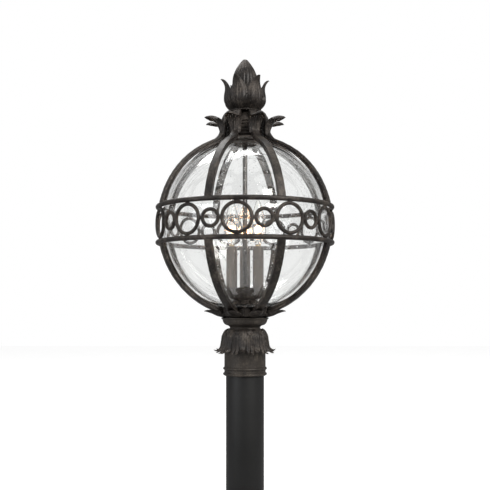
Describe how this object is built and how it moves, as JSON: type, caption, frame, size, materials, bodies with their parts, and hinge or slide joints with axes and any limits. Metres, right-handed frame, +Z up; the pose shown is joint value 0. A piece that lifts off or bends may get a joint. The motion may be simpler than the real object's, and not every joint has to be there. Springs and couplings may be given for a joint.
{
  "type": "post lantern",
  "caption": "Globe post lantern: a clear glass ball in a leaf-trimmed wrought cage with candle lamps inside, turning on a short flanged post; dome, finial and lamps lift out.",
  "frame": {"origin": "middle of the underside of the post's base flange", "axes": "+Z up the post; the view that faces the picture looks along +Y, so -Y is the front"},
  "size_m": [0.3605, 0.3611, 0.9415],
  "materials": {
    "bronze_iron": "wrought and cast iron with a mottled dark bronze patina, semi-gloss",
    "post_paint": "satin black powder coat",
    "dark_steel": "darkened steel fastener",
    "seeded_glass": "clear mouth-blown glass with small air seeds",
    "lamp_glass": "thin clear lamp glass",
    "lamp_brass": "bright brass",
    "filament_wire": "glowing warm wire on a glass stem",
    "candle_bronze": "bronze painted candle sleeve",
    "socket_black": "moulded black lamp holder",
    "rubber_seal": "soft black seal"
  },
  "bodies": {
    "post": {"base_flange": "post_paint", "post_tube": "post_paint"},
    "lantern": {"fitter_collar": "bronze_iron", "set_screws": "dark_steel", "skirt_core": "bronze_iron", "skirt_leaves": "bronze_iron", "waist_ring": "bronze_iron", "cup": "bronze_iron", "lower_hub": "bronze_iron", "lower_leaves": "bronze_iron", "lower_rail": "bronze_iron", "upper_rail": "bronze_iron", "lower_ribs": "bronze_iron", "band_rings_large": "bronze_iron", "band_rings_small": "bronze_iron", "lower_gasket": "rubber_seal", "rosette": "bronze_iron", "cluster_bowl": "bronze_iron", "centre_rod": "bronze_iron", "rod_nut_lower": "dark_steel", "rod_nut_upper": "dark_steel", "lamp_sleeve_1": "candle_bronze", "lamp_socket_1": "socket_black", "lamp_sleeve_2": "candle_bronze", "lamp_socket_2": "socket_black", "lamp_sleeve_3": "candle_bronze", "lamp_socket_3": "socket_black"},
    "dome": {"upper_ribs": "bronze_iron", "dome_flange": "bronze_iron", "neck_drum": "bronze_iron", "dome_cap": "bronze_iron", "horn_leaves": "bronze_iron", "globe": "seeded_glass", "upper_gasket": "rubber_seal", "finial_washer": "dark_steel"},
    "finial": {"finial_cup": "bronze_iron", "finial_insert": "lamp_brass", "finial_bud": "bronze_iron", "crown_leaves": "bronze_iron"},
    "lamp_1": {"bulb_base_1": "lamp_brass", "bulb_glass_1": "lamp_glass", "bulb_contact_1": "lamp_brass", "bulb_filament_1": "filament_wire"},
    "lamp_2": {"bulb_base_2": "lamp_brass", "bulb_glass_2": "lamp_glass", "bulb_contact_2": "lamp_brass", "bulb_filament_2": "filament_wire"},
    "lamp_3": {"bulb_base_3": "lamp_brass", "bulb_glass_3": "lamp_glass", "bulb_contact_3": "lamp_brass", "bulb_filament_3": "filament_wire"}
  },
  "joints": [
    {"name": "lantern_turn", "type": "hinge", "parent": "post", "child": "lantern", "pos_m": [0, 0, 0.3], "axis": [0, 0, 1], "continuous": true},
    {"name": "dome_lift", "type": "slide", "parent": "lantern", "child": "dome", "axis": [0, 0, 1], "range_m": [0, 0.44]},
    {"name": "finial_lift", "type": "slide", "parent": "dome", "child": "finial", "axis": [0, 0, 1], "range_m": [0, 0.05]},
    {"name": "lamp_1_lift", "type": "slide", "parent": "lantern", "child": "lamp_1", "axis": [0, 0, 1], "range_m": [0, 0.08]},
    {"name": "lamp_2_lift", "type": "slide", "parent": "lantern", "child": "lamp_2", "axis": [0, 0, 1], "range_m": [0, 0.08]},
    {"name": "lamp_3_lift", "type": "slide", "parent": "lantern", "child": "lamp_3", "axis": [0, 0, 1], "range_m": [0, 0.08]}
  ]
}
